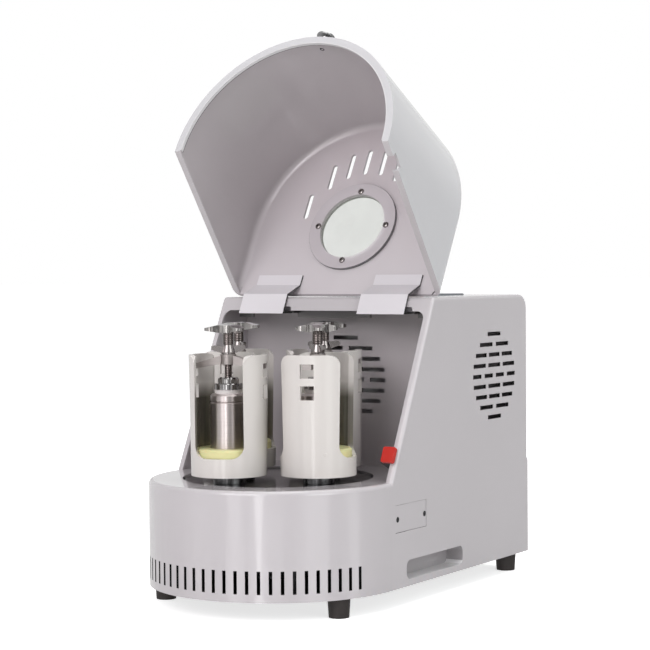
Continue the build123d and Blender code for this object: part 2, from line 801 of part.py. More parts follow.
# ------------------------------------------------------------------ one jar station, built at the origin
def planet_gear(index):
    """Pinion shaft: the gear under the disk and the flange that the seat is bolted to."""
    bearing = station_bearing(index)
    towards_sun = bearing + 180 + 180 / gear_teeth
    angle = radians(bearing)
    place = Pos(station_radius * sin(angle), axis_y - station_radius * cos(angle))
    gear = Pos(0, 0, gear_low_z) * extrude(gear_outline(gear_teeth, gear_module, towards_sun), gear_width)
    shaft = disc(planet_shaft_radius, gear_low_z, seat_z, y=0)
    flange = disc(planet_flange_radius, disk_top_z + 0.5, seat_z, y=0)
    return place * (gear + shaft + flange)


def jar_seat():
    """Cup with two deep windows and two wings, each wing with two square holes."""
    def outside(up):
        return seat_foot_radius + (seat_top_radius - seat_foot_radius) * up / seat_height

    seat = turned((
        (0, seat_z), (outside(0), seat_z), (outside(seat_height), seat_top_z),
        (outside(seat_height) - seat_wall, seat_top_z), (outside(seat_floor) - seat_wall, adaptor_z),
        (0, adaptor_z),
    ), y=0)
    reach = 2 * seat_top_radius
    window_half = seat_foot_radius * cos(radians(90 - window_half_angle))
    window_z = seat_z + seat_window_height
    window = block(-window_half, window_half, -reach, reach, window_z, seat_top_z + 2 * window_corner_radius)
    seat -= fillet(window.edges().filter_by(Axis.Y).group_by(Axis.Z)[0], window_corner_radius)
    wing_half = sqrt(seat_top_radius ** 2 - window_half ** 2)
    wing = block(-reach, reach, -wing_half, wing_half, window_z, seat_top_z)
    wing = fillet(wing.edges().filter_by(Axis.X).group_by(Axis.Z)[-1], wing_corner_radius)
    foot = block(-reach, reach, -reach, reach, seat_z, seat_z + seat_height / 2)
    seat = seat & (wing + foot)
    for low in (lower_hole_low, upper_hole_low):
        seat -= block(-reach, reach, -wing_hole_width / 2, wing_hole_width / 2,
                      seat_z + low, seat_z + low + wing_hole_height)
    return seat


def cup_adaptor():
    """Plastic cup that centres a small jar in the seat."""
    outer = seat_foot_radius - seat_wall - adaptor_clearance
    bore = jar_radius + seat_gap
    lead = 2.0
    return turned((
        (0, adaptor_z), (outer, adaptor_z), (outer, adaptor_z + adaptor_height - lead),
        (outer - lead, adaptor_z + adaptor_height), (bore, adaptor_z + adaptor_height),
        (bore, jar_z), (0, jar_z),
    ), y=0)


def milling_jar():
    """Turned steel jar, with a groove below its shoulder and a narrower mouth."""
    shoulder = 2.0
    groove_z = jar_top_z - jar_groove_drop
    inside = jar_radius - jar_wall
    return turned((
        (0, jar_z), (jar_radius, jar_z),
        (jar_radius, groove_z - jar_groove), (jar_radius - jar_groove, groove_z), (jar_radius, groove_z + jar_groove),
        (jar_radius, jar_top_z - shoulder), (jar_radius - shoulder, jar_top_z), (jar_mouth_radius, jar_top_z),
        (jar_mouth_radius, jar_top_z - cap_plug_depth - 2), (inside, jar_top_z - cap_plug_depth - 6),
        (inside, jar_z + jar_wall), (0, jar_z + jar_wall),
    ), y=0)


def jar_cap():
    """Stepped steel cap with a plug, and the white seal ring under it."""
    plug = jar_mouth_radius - 0.2
    cap = turned((
        (0, jar_top_z - cap_plug_depth), (plug, jar_top_z - cap_plug_depth), (plug, cap_z), (cap_radius, cap_z),
        (cap_radius, cap_z + cap_height - 1), (cap_radius - 1, cap_z + cap_height), (0, cap_z + cap_height),
    ), y=0)
    seal = turned(((plug, jar_top_z), (seal_radius, jar_top_z), (seal_radius, cap_z), (plug, cap_z)), y=0)
    return [cap, seal]


def clamp_bar():
    """Cast crossbar: its lugs bear on the tops of the upper holes, the screw runs in its boss."""
    lug_top = upper_hole_top_z - 0.1
    lug_low = lug_top - bar_lug_height
    boss_low = boss_top_z - bar_boss_height
    inside = seat_foot_radius - seat_wall - 2
    half = (
        (bar_half_length, lug_low), (bar_half_length, lug_top), (inside, lug_top),
        (bar_boss_radius, boss_top_z - 2),
    )
    mirrored = [(-x, z) for x, z in reversed(half)]
    outline = Polygon(*half, *mirrored, (-inside, lug_low), (-bar_boss_radius, boss_low),
                      (bar_boss_radius, boss_low), (inside, lug_low), align=None)
    bar = extrude(Plane.XZ * outline, bar_width / 2, both=True)
    bar += disc(bar_boss_radius, boss_low, boss_top_z, y=0)
    return bar - disc(screw_radius + screw_clearance, boss_low - overlap, boss_top_z + overlap, y=0)


def pressure_pad():
    """Swivel pad on the end of the clamp screw."""
    top = pad_z + pad_height
    return turned((
        (0, pad_z), (pad_radius, pad_z), (pad_radius, top - pad_edge), (pad_radius - pad_edge, top),
        (screw_radius + screw_clearance, top), (screw_radius + screw_clearance, top - pad_socket),
        (0, top - pad_socket),
    ), y=0)


def clamp_screw():
    """Screw and its lobed hand wheel, which are pinned together."""
    lobe_circle = wheel_reach - wheel_lobe_radius
    plan = Circle(wheel_hub_radius)
    for third in range(3):
        plan += Rot(0, 0, 120 * third) * (
            Pos(lobe_circle, 0) * Circle(wheel_lobe_radius)
            + Pos(lobe_circle / 2, 0) * Rectangle(lobe_circle, 2 * wheel_lobe_radius - 1))
    wheel = Pos(0, 0, wheel_z) * extrude(Rot(0, 0, wheel_turn) * plan, wheel_thickness)
    top = wheel_z + wheel_thickness
    dome = turned((
        (0, wheel_z), (wheel_hub_radius - 3, wheel_z), (wheel_reach, wheel_z + wheel_edge_rise),
        (wheel_reach, top - wheel_edge_drop), (wheel_reach / 2, top - wheel_edge_drop * 0.22), (0, top),
    ), y=0)
    tip_z = pad_z + pad_height - pad_socket + seat_gap
    neck = disc(screw_radius + 2, nut_z + nut_height + 0.5, wheel_z + 1, y=0)
    return (wheel & dome) + disc(screw_radius, tip_z, wheel_z + 2, y=0) + neck


def lock_nut():
    """Wing nut that locks the screw against the crossbar."""
    top = nut_z + nut_height
    body = turned((
        (screw_radius + screw_clearance, nut_z), (nut_radius + 1, nut_z), (nut_radius + 1, nut_z + 2),
        (nut_radius - 1.5, top), (screw_radius + screw_clearance, top),
    ), y=0)
    near = screw_radius + 1
    wing = Polygon((near, nut_z + 1), (nut_radius + 2, nut_z + 1), (nut_wing_reach, top - nut_wing_tip),
                   (nut_wing_reach, top - 1), (nut_wing_reach - 3, top), (near, top - 1), align=None)
    wing = extrude(Plane.XZ * wing, nut_wing_thickness / 2, both=True)
    return Rot(0, 0, nut_turn) * (body + wing + Rot(0, 0, 180) * wing)


# ------------------------------------------------------------------ controls and supply
def control_panel():
    """Flat keypad plate on top of the rear box."""
    rear = rear_y - control_ahead
    plate = block(-control_width / 2, control_width / 2, rear - control_length, rear, top_z,
                  top_z + control_thickness)
    return chamfer(plate.edges().group_by(Axis.Z)[-1], control_thickness / 2)


def rocker_place():
    return Pos(inlet_across + rocker_across, rear_y - wall, foot_height + inlet_up)


def power_inlet():
    """Flanged mains inlet with its socket and the opening for the rocker."""
    flange = block(-inlet_width / 2, inlet_width / 2, 0, inlet_flange, -inlet_height / 2, inlet_height / 2)
    behind = block(-inlet_width / 2 + inlet_flange + seat_gap, inlet_width / 2 - inlet_flange - seat_gap,
                   -inlet_depth, 0, -inlet_height / 2 + inlet_flange + seat_gap,
                   inlet_height / 2 - inlet_flange - seat_gap)
    socket_x = rocker_across - rocker_width / 2 - socket_gap - socket_width
    socket = block(socket_x, socket_x + socket_width, -socket_depth, inlet_flange + overlap,
                   -socket_height / 2, socket_height / 2)
    well = Pos(rocker_across) * block(
        -rocker_width / 2 - rocker_gap, rocker_width / 2 + rocker_gap, -rocker_depth - 4, inlet_flange + overlap,
        -rocker_height / 2 - 2, rocker_height / 2 + 2)
    body = flange + behind - socket - well
    place = Pos(inlet_across, rear_y - wall, foot_height + inlet_up)
    pivot = Pos(rocker_across - rocker_width / 2 - 2 * rocker_gap, -rocker_depth / 2) * Rot(0, 90, 0) * extrude(
        Circle(1.2), rocker_width + 4 * rocker_gap)
    contacts = [
        Pos(socket_x + socket_width / 2 + across, -10, up) * Box(2, 15.9, 4)
        for across, up in ((-6, -1.5), (6, -1.5), (0, 2.5))
    ]
    return [place * (body + pivot)] + [place * contact for contact in contacts]


def power_switch():
    """Rocker with its two faces at an angle, on a pivot across the inlet, pressed in at the bottom."""
    half = rocker_height / 2
    outline = ((-3, -half + 4), (3, -half), (5.5, -half), (4.4, 0), (5.5, half), (3, half), (-3, half - 4))
    rocker = side_slab(outline, -rocker_width / 2, rocker_width / 2)
    bore = Pos(-rocker_width / 2 - overlap) * Rot(0, 90, 0) * extrude(
        Circle(1.2 + running_clearance), rocker_width + 2 * overlap)
    return rocker_place() * Pos(0, -rocker_depth / 2) * Rot(-rocker_tilt, 0, 0) * (rocker - bore)


# ------------------------------------------------------------------ write every node
def save(name, shape):
    """A node is one solid, or a group of separate ones."""
    solids = shape if isinstance(shape, list) else [shape]
    export_step(Compound(children=[solid for piece in solids for solid in piece.solids()]),
                f"parts/{name}.step")


fixed_parts = {
    "housing_shell": housing_shell, "rear_panel": rear_panel, "chamber_bulkhead": chamber_bulkhead,
    "base_frame": base_frame, "feet": feet, "access_plate": access_plate,
    "hinge_bracket": hinge_bracket, "interlock_switch": interlock_switch,
    "bearing_housing": bearing_housing, "sun_gear": sun_gear, "motor": motor, "drive_belt": drive_belt,
    "control_panel": control_panel, "power_inlet": power_inlet,
}
moving_parts = {
    "lid_shell": lid_shell, "window_pane": window_pane, "window_ring": window_ring,
    "hinge_arms": hinge_arms, "lid_knob": lid_knob, "interlock_button": interlock_button,
    "sun_disk": sun_disk, "main_shaft": main_shaft, "motor_pulley": motor_pulley,
    "power_switch": power_switch,
}
station_parts = {
    "jar_seat": jar_seat, "cup_adaptor": cup_adaptor, "milling_jar": milling_jar, "jar_cap": jar_cap,
    "clamp_bar": clamp_bar, "pressure_pad": pressure_pad, "clamp_screw": clamp_screw, "lock_nut": lock_nut,
}

os.makedirs("parts", exist_ok=True)
for node, make in {**fixed_parts, **moving_parts}.items():
    save(node, make())
for node, make in station_parts.items():
    pieces = make()
    pieces = pieces if isinstance(pieces, list) else [pieces]
    for index in range(station_count):
        save(f"{node}_{index + 1}", [station_place(index) * piece for piece in pieces])
for index in range(station_count):
    save(f"planet_gear_{index + 1}", planet_gear(index))
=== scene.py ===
"""Looks of a planetary ball mill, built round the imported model. Metres, +Z up, front towards -Y."""

import json
from math import cos, pi, radians, sin

import bmesh
import bpy
from mathutils import Matrix, Vector


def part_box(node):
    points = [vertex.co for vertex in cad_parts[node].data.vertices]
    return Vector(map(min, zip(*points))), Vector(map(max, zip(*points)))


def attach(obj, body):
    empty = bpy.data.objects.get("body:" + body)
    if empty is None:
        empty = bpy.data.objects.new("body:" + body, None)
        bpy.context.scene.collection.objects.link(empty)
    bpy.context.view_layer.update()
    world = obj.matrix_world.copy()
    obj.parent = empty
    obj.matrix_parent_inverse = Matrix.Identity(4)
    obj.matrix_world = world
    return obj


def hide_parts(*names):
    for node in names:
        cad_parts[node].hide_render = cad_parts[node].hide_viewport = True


# camera, from a fit of the object's edges
IMAGE_WIDTH = 650
FOCAL_PIXELS = 1863.373
SENSOR = 36.0
CAMERA_PLACE = (1.198774, -1.898394, 0.38549)
CAMERA_YAW, CAMERA_DOWN, CAMERA_ROLL = 32.209, 1.756, -0.446

# places shared with the solids
AXIS_Y = -0.1
STATION_RADIUS = 0.072
FIRST_BEARING = -16.8
STATIONS = (1, 2, 3, 4)
HINGE = Vector((0, 0.017, 0.336))
LID_OPEN = 118.8                 # degrees
LID_INSIDE = 0.3365              # underside of the closed lid's plate
LID_RIM = 0.1455                 # closed lid's rim
LID_MOUTH_RADIUS = 0.1402
LID_EDGE_FACING = (0, 0.902, -0.431)   # closed lid's edge faces, along the cheeks, which take painted shade
WINDOW_CENTRE = (0, -0.0965)
WINDOW_PANE = (0.060, 0.0044)    # radius, thickness
WINDOW_CLEAR_RADIUS = 0.0443
SEAL_TOP = 0.2487                # white ring under each jar's cap
JAR_SHOULDER = 0.2437
WHEEL_UNDERSIDE = 0.3124
WINDOW_SCREW_CIRCLE = 0.0486
KNOB_SCREW_RADIUS = 0.1467       # inner face of the hood's wall, from the drum's axis
KNOB_ACROSS, KNOB_UP = 0.0048, 0.022   # to the right, above the closed rim
ACCESS_FACE = 0.1495
ACCESS_SCREWS = (-0.0819, -0.0201)   # along the side
ACCESS_SCREW_UP = 0.1005
REAR_LAP = 0.008
DECK_UNDERSIDE = 0.135
SIDE_VENTS = (0.158, 0.2400, 0.066)    # middle of the diamond along Y and up, and its reach
RECESS_FLOOR, RECESS_TOP = 0.0298, 0.0518    # carry handle recess in each side
RECESS_DEPTH = 0.1495            # its faces lie nearer the middle than this
CORNER_SHADOW = (0.1292, -0.0102, 0.010)       # painted shadow arc in the closed lid's rear corner: centre, radius
CORNER_SHADOW_ARC = (12, 44, 12)   # first angle, sweep, steps
DRUM_BACK = -0.06                # the drum's open inside lies in front of this
RECESS_FRONT = -0.07             # the carry handle recesses lie behind this
SEAT_SCREW_TURN = 42.6 - 73.2    # from a station's radial line
SEAT_SCREW_RADIUS = 0.04335
SEAT_SCREW_Z = 0.1778

# sizes of the scene's own pieces
PAINT_GAP = 0.0001               # window disc off the lid's paint
WINDOW_SCREW_HEAD = (0.0040, 0.0019)   # radius, height; so too below
PULL_SCREW_HEAD = (0.0038, 0.002)
ACCESS_SCREW_HEAD = (0.0033, 0.0005)
REAR_SCREW_HEAD = (0.0035, 0.0005)
SEAT_SCREW_HEAD = (0.0022, 0.0003)
PULL_PROFILE = ((0, 0), (0.0065, 0), (0.0065, 0.0022), (0.0048, 0.0036), (0.0045, 0.0085), (0.0058, 0.0115),
                (0.0105, 0.0128), (0.0112, 0.0138), (0.0108, 0.0152), (0.0085, 0.0166), (0.0045, 0.0174),
                (0, 0.0176))
LIP_HEIGHT = 0.004
DISPLAY = (0.078, 0.030, 0.0010)       # length, width, height
DISPLAY_AHEAD = 0.018            # from the middle of the control plate
KEY = (0.020, 0.012, 0.0008)
KEY_PITCH = (0.030, 0.018)
KEY_ROW_BACK = 0.010
PAD_CORNER = 0.003

# light
SOFT_LIGHT = 0.38
FLOOR_GLOW = 0.7                 # for the camera
OVERHEAD_IN_GLOSS = 0.6
PANEL_STRENGTH = 4.0
# bright and dark panels round the studio, for gloss: part of the way round from -X through -Y, brightness
STUDIO_PANELS = ((0.0, 0.7), (0.08, 0.6), (0.14, 1.0), (0.19, 0.6), (0.217, 0.6), (0.222, 1.7), (0.250, 1.7),
                 (0.256, 0.6), (0.283, 0.6), (0.287, 3.8), (0.305, 3.8), (0.309, 0.6), (0.345, 0.7), (0.365, 0.25),
                 (0.385, 0.3), (0.415, 1.2), (0.455, 1.2), (0.475, 0.2), (0.51, 0.3), (0.525, 1.1), (0.545, 1.1),
                 (0.56, 0.15), (0.66, 0.3), (0.72, 0.7), (0.78, 0.85), (0.90, 0.8), (1.0, 0.7))


# ------------------------------------------------------------------ node graph helpers
class Graph:
    """Short names for the nodes of one material."""

    def __init__(self, name):
        self.material = bpy.data.materials.new(name)
        self.material.use_nodes = True
        self.tree = self.material.node_tree
        self.shader = self.tree.nodes["Principled BSDF"]

    def node(self, kind, **settings):
        made = self.tree.nodes.new(kind)
        for key, value in settings.items():
            setattr(made, key, value)
        return made

    def link(self, source, target):
        self.tree.links.new(source, target)

    def place(self, scale=(1, 1, 1)):
        """Object coordinates, stretched."""
        where = self.node("ShaderNodeTexCoord")
        mapping = self.node("ShaderNodeMapping")
        mapping.inputs["Scale"].default_value = scale
        self.link(where.outputs["Object"], mapping.inputs["Vector"])
        return mapping.outputs["Vector"]

    def closed_lid_frame(self, output, vector_only=False):
        """Object coordinates or normal, turned back to the closed lid."""
        where = self.node("ShaderNodeTexCoord")
        turn = self.node("ShaderNodeVectorRotate", rotation_type="X_AXIS")
        turn.inputs["Angle"].default_value = radians(LID_OPEN)
        turn.inputs["Center"].default_value = (0, 0, 0) if vector_only else HINGE
        self.link(where.outputs[output], turn.inputs["Vector"])
        return turn.outputs["Vector"]

    def noise(self, scale, detail=3.0, roughness=0.5, stretch=(1, 1, 1)):
        made = self.node("ShaderNodeTexNoise")
        made.inputs["Scale"].default_value = scale
        made.inputs["Detail"].default_value = detail
        made.inputs["Roughness"].default_value = roughness
        self.link(self.place(stretch), made.inputs["Vector"])
        return made.outputs["Fac"]

    def split(self, vector, axis):
        made = self.node("ShaderNodeSeparateXYZ")
        self.link(vector, made.inputs[0])
        return made.outputs[axis]

    def height(self):
        """Height in the object's frame, metres."""
        return self.split(self.place(), "Z")

    def vector(self, operation, a, b=None):
        made = self.node("ShaderNodeVectorMath", operation=operation)
        for socket, value in zip(made.inputs, (a, b)):
            if isinstance(value, (tuple, Vector)):
                socket.default_value = value
            elif value is not None:
                self.link(value, socket)
        return made

    def minus(self, a, b):
        return self.vector("SUBTRACT", a, b).outputs["Vector"]

    def flat(self, a):
        return self.vector("MULTIPLY", a, (1, 1, 0)).outputs["Vector"]

    def unit(self, a):
        return self.vector("NORMALIZE", a).outputs["Vector"]

    def dot(self, a, b):
        return self.vector("DOT_PRODUCT", a, b).outputs["Value"]

    def ramp(self, value, stops):
        made = self.node("ShaderNodeValToRGB")
        while len(made.color_ramp.elements) < len(stops):
            made.color_ramp.elements.new(0.5)
        for element, (at, colour) in zip(made.color_ramp.elements, stops):
            element.position = at
            element.color = (*colour, 1) if len(colour) == 3 else colour
        self.link(value, made.inputs["Fac"])
        return made.outputs["Color"]

    def span(self, value, low, high, from_low=0.0, from_high=1.0):
        made = self.node("ShaderNodeMapRange")
        made.inputs["From Min"].default_value = from_low
        made.inputs["From Max"].default_value = from_high
        made.inputs["To Min"].default_value = low
        made.inputs["To Max"].default_value = high
        self.link(value, made.inputs["Value"])
        return made.outputs["Result"]

    def maths(self, operation, a, b=None):
        made = self.node("ShaderNodeMath", operation=operation)
        for socket, value in zip(made.inputs, (a, b)):
            if value is None:
                continue
            if isinstance(value, (int, float)):
                socket.default_value = value
            else:
                self.link(value, socket)
        return made.outputs["Value"]

    def mix(self, fac, a, b, blend="MIX"):
        made = self.node("ShaderNodeMix", data_type="RGBA", blend_type=blend)
        for socket, value in ((made.inputs[0], fac), (made.inputs[6], a), (made.inputs[7], b)):
            if isinstance(value, (int, float)):
                socket.default_value = value
            elif isinstance(value, tuple):
                socket.default_value = (*value, 1)
            else:
                self.link(value, socket)
        return made.outputs[2]

    def bump(self, height, strength, distance, onto=None):
        made = self.node("ShaderNodeBump")
        made.inputs["Strength"].default_value = strength
        made.inputs["Distance"].default_value = distance
        self.link(height, made.inputs["Height"])
        if onto:
            self.link(onto, made.inputs["Normal"])
        return made.outputs["Normal"]

    def set(self, **values):
        names = {"color": "Base Color", "metallic": "Metallic", "roughness": "Roughness", "coat": "Coat Weight",
                 "coat_roughness": "Coat Roughness", "specular": "Specular IOR Level", "ior": "IOR",
                 "transmission": "Transmission Weight", "subsurface": "Subsurface Weight", "normal": "Normal",
                 "anisotropic": "Anisotropic", "sweep_turn": "Anisotropic Rotation", "alpha": "Alpha",
                 "subsurface_scale": "Subsurface Scale"}
        for key, value in values.items():
            socket = self.shader.inputs[names[key]]
            if isinstance(value, bpy.types.NodeSocket):
                self.link(value, socket)
            elif isinstance(value, tuple) and len(value) == 3 and socket.type == "RGBA":
                socket.default_value = (*value, 1)
            else:
                socket.default_value = value
        return self.material


def shade(colour, factor):
    return tuple(min(c * factor, 1.0) for c in colour)


# ------------------------------------------------------------------ materials
def powder_coat(name, colour, roughness=0.32, peel=0.25, drift=0.02, coat=0.0, shaded_facing=None, shade_tone=0.02):
    """Sprayed and baked paint: orange peel, faint uneven tone, a few specks; near-black painted shade on faces turned
    along the given axes.
    """
    g = Graph(name)
    tone = g.noise(5, 2)
    base = g.ramp(tone, ((0.3, shade(colour, 1 - drift)), (0.7, shade(colour, 1 + drift))))
    speck = g.ramp(g.noise(900, 2), ((0.66, (0, 0, 0)), (0.8, (1, 1, 1))))
    base = g.mix(g.maths("MULTIPLY", speck, 0.04), base, shade(colour, 0.7))
    # painted shade: faces turned along the given axes take a near-black tone
    if shaded_facing:
        facing = g.node("ShaderNodeTexCoord").outputs["Normal"]
        shaded_side = g.span(g.vector("LENGTH", g.vector("MULTIPLY", facing, shaded_facing).outputs["Vector"]).outputs["Value"],
                     0.0, 1.0, 0.7, 0.8)
        base = g.mix(shaded_side, base, (shade_tone, shade_tone, shade_tone))
    skin = g.bump(g.noise(420, 2), peel, 0.00012)
    wave = g.bump(g.noise(60, 2), 0.1, 0.0005, skin)
    return g.set(color=base, normal=wave, specular=0.5, coat=coat, coat_roughness=0.12,
                 roughness=g.span(g.noise(30, 3), roughness - 0.04, roughness + 0.06))


def housing_coat(name, colour):
    """Gloss coat; near-black painted shade inside the drum and on the vents' side faces; painted shade in the carry
    handle recess, with a painted highlight on the recess's floor.
    """
    g = Graph(name)
    along, up = g.split(g.place(), "Y"), g.height()
    normal = g.node("ShaderNodeTexCoord").outputs["Normal"]
    outward = g.dot(g.unit(g.flat(g.minus(g.place(), (0, AXIS_Y, 0)))), normal)
    in_drum = g.maths("MULTIPLY", g.maths("LESS_THAN", up, DECK_UNDERSIDE), g.maths("LESS_THAN", along, DRUM_BACK))
    # painted shade, near black: the drum's inner faces, and below also the side vents' inner faces
    painted_shade = g.maths("MULTIPLY", g.span(outward, 1.0, 0.0, 0.3, 0.5), in_drum)
    middle_y, middle_z, reach = SIDE_VENTS
    beside = g.vector("MULTIPLY", g.place(), (0, 1, 1)).outputs["Vector"]
    from_vents = g.vector("DISTANCE", beside, (0, middle_y, middle_z)).outputs["Value"]
    near_vents = g.maths("LESS_THAN", from_vents, reach)
    sideways = g.maths("ABSOLUTE", g.split(normal, "X"))
    painted_shade = g.maths("MAXIMUM", painted_shade, g.maths("MULTIPLY", near_vents, g.maths("LESS_THAN", sideways, 0.5)))
    upward = g.maths("GREATER_THAN", g.dot(normal, (0, 0, 1)), 0.4)
    behind = g.maths("GREATER_THAN", along, RECESS_FRONT)
    ledge_highlight = g.maths("MULTIPLY", g.maths("LESS_THAN", up, RECESS_FLOOR + 0.004), behind)
    recess = g.maths("MULTIPLY", g.maths("LESS_THAN", up, RECESS_TOP + 0.0002), behind)
    from_middle = g.maths("ABSOLUTE", g.split(g.place(), "X"))
    recess = g.maths("MULTIPLY", recess, g.maths("LESS_THAN", from_middle, RECESS_DEPTH))
    tone = g.noise(5, 2)
    base = g.ramp(tone, ((0.3, shade(colour, 0.975)), (0.7, shade(colour, 1.02))))
    # painted shade in the carry handle recess, and a painted highlight on its floor
    base = g.mix(recess, base, shade(colour, 0.72))
    base = g.mix(g.maths("MULTIPLY", upward, ledge_highlight), base, (0.97, 0.96, 0.97))
    base = g.mix(painted_shade, base, (0.02, 0.02, 0.02))
    wave = g.bump(g.noise(60, 2), 0.08, 0.0005, g.bump(g.noise(420, 2), 0.12, 0.0001))
    return g.set(color=base, normal=wave, specular=0.5, coat=0.8, coat_roughness=0.06,
                 roughness=g.span(g.noise(30, 3), 0.16, 0.25))


def lid_coat(name, outside, inside, plate_far_shaded, plate_near_lit):
    """Gloss coat; painted shade makes the hood's inner faces and its edge faces a darker grey mauve, and the inner
    plate carries a painted light gradient, paler towards the hinge.
    """
    g = Graph(name)
    facing = g.closed_lid_frame("Normal", vector_only=True)
    from_axis = g.minus(g.closed_lid_frame("Object"), (0, AXIS_Y, LID_INSIDE - 0.08))
    inner = g.span(g.dot(g.unit(from_axis), facing), 1.0, 0.0, -0.25, -0.05)
    edge = g.span(g.dot(facing, LID_EDGE_FACING), 0.0, 0.8, 0.8, 0.95)
    flat = g.span(g.dot(facing, (0, 0, -1)), 0.0, 1.0, 0.3, 0.95)
    along = g.split(g.closed_lid_frame("Object"), "Y")
    # painted light gradient: the inner plate is darker far from the hinge and paler near it
    plate = g.mix(g.span(along, 0.0, 1.0, -0.23, -0.03), plate_far_shaded, plate_near_lit)
    # painted shade on the hood's inner walls and edge faces
    base = g.mix(g.maths("MAXIMUM", inner, edge), outside, g.mix(flat, inside, plate))
    base = g.mix(g.span(g.noise(4, 2), 0.0, 0.08, 0.4, 0.7), base, shade(inside, 0.93))
    wave = g.bump(g.noise(40, 2), 0.1, 0.0006, g.bump(g.noise(420, 2), 0.12, 0.0001))
    return g.set(color=base, normal=wave, specular=0.5, coat=0.8, coat_roughness=0.05,
                 roughness=g.span(g.noise(30, 3), 0.17, 0.25))


def seat_coat(name, colour, bore, number):
    """Satin cream coat outside; the bore's inner faces round the jar are dark, streaked and partly metallic, up to the
    jar's shoulder.
    """
    g = Graph(name)
    x, y = station_centre(number)
    out = g.flat(g.minus(g.place(), (x, y, 0)))
    facing = g.node("ShaderNodeTexCoord").outputs["Normal"]
    inner = g.span(g.dot(g.unit(out), facing), 1.0, 0.0, -0.8, -0.4)
    up = g.height()
    low = g.span(up, 1.0, 0.0, JAR_SHOULDER - 0.006, JAR_SHOULDER + 0.012)
    streak = g.ramp(g.noise(60, 3, stretch=(1, 1, 0.06)), ((0.3, shade(bore, 0.6)), (0.75, shade(bore, 1.7))))
    tone = g.noise(9, 2)
    coat = g.ramp(tone, ((0.3, shade(colour, 0.985)), (0.7, shade(colour, 1.015))))
    dark = g.maths("MULTIPLY", inner, low)
    wave = g.bump(g.noise(70, 2), 0.1, 0.0005, g.bump(g.noise(420, 2), 0.15, 0.0001))
    return g.set(color=g.mix(dark, coat, streak), normal=wave, specular=0.5, coat=0.25, coat_roughness=0.1,
                 metallic=g.maths("MULTIPLY", dark, 0.6), roughness=g.span(g.noise(30, 3), 0.18, 0.26))


def turned_metal(name, colour, roughness, ring=0.0004, metallic=1.0, sweep=0.4, depth=0.2):
    """Lathe-turned metal: fine rings up the height, broken by soft smudges."""
    g = Graph(name)
    rings = g.noise(1 / ring, 2, stretch=(0.02, 0.02, 1))
    smudge = g.noise(35, 4)
    base = g.ramp(rings, ((0.25, shade(colour, 0.9)), (0.75, shade(colour, 1.08))))
    base = g.mix(g.span(smudge, 0.0, 0.2, 0.35, 0.8), base, shade(colour, 0.75))
    rough = g.maths("ADD", g.span(rings, -0.04, 0.05), g.span(smudge, roughness - 0.03, roughness + 0.06))
    return g.set(color=base, metallic=metallic, roughness=rough, anisotropic=sweep,
                 sweep_turn=0.25, normal=g.bump(rings, depth, 0.00005))


def polished(name, colour, roughness):
    """Plated metal with hairline scratches and finger marks."""
    g = Graph(name)
    hair = g.noise(260, 3, stretch=(1, 9, 1))
    marks = g.noise(40, 4)
    rough = g.maths("ADD", g.span(hair, 0.0, 0.05, 0.4, 0.8), g.span(marks, roughness, roughness + 0.1, 0.3, 0.8))
    base = g.ramp(marks, ((0.3, shade(colour, 0.93)), (0.75, shade(colour, 1.03))))
    return g.set(color=base, metallic=1.0, roughness=rough, normal=g.bump(hair, 0.06, 0.00005))


def cap_and_seal(name, colour, seal, roughness):
    """Dark turned cap with a white seal ring below it."""
    g = Graph(name)
    up = g.height()
    ring = g.span(up, 1.0, 0.0, SEAL_TOP - 0.0002, SEAL_TOP + 0.0002)
    turned = g.noise(2500, 2, stretch=(0.02, 0.02, 1))
    smudge = g.noise(35, 4)
    steel = g.ramp(turned, ((0.25, shade(colour, 0.85)), (0.75, shade(colour, 1.15))))
    steel = g.mix(g.span(smudge, 0.0, 0.25, 0.35, 0.8), steel, shade(colour, 0.6))
    return g.set(color=g.mix(ring, steel, seal), metallic=g.maths("SUBTRACT", 1.0, ring),
                 roughness=g.maths("ADD", g.span(smudge, roughness, roughness + 0.05), g.maths("MULTIPLY", ring, 0.25)),
                 normal=g.bump(turned, 0.15, 0.00005))


def screw_and_wheel(name, plated, rod, roughness, pitch=0.002):
    """Plated above the wheel's underside; below it a dark rod with the thread's ridges, with painted shade in the
    grooves and a painted highlight on the crests.
    """
    g = Graph(name)
    up = g.height()
    wheel = g.span(up, 0.0, 1.0, WHEEL_UNDERSIDE - 0.0006, WHEEL_UNDERSIDE)
    marks = g.noise(40, 4)
    cloud = g.noise(90, 2)
    ridge = g.span(g.maths("PINGPONG", up, pitch / 2), 0.0, 1.0, 0.0, pitch / 2)
    # painted shade in the thread's grooves and painted highlight on its crests
    ridge_light_and_shade = g.mix(ridge, shade(rod, 0.6), shade(rod, 1.35))
    tone = g.ramp(marks, ((0.3, shade(plated, 0.8)), (0.75, shade(plated, 1.15))))
    base = g.mix(wheel, ridge_light_and_shade, tone)
    height = g.maths("MULTIPLY", ridge, g.maths("SUBTRACT", 1.0, wheel))
    hammered = g.bump(cloud, 0.45, 0.0015, g.bump(height, 0.5, 0.0004))
    return g.set(color=base, metallic=1.0, normal=hammered,
                 roughness=g.span(marks, roughness, roughness + 0.08, 0.3, 0.8))


def sheet_metal(name, colour, roughness):
    """Plain rolled sheet: long grain along the width."""
    g = Graph(name)
    grain = g.noise(300, 3, stretch=(0.04, 1, 1))
    base = g.ramp(grain, ((0.3, shade(colour, 0.88)), (0.7, shade(colour, 1.08))))
    return g.set(color=base, metallic=0.9, roughness=g.span(grain, roughness - 0.05, roughness + 0.1),
                 normal=g.bump(grain, 0.12, 0.00006))


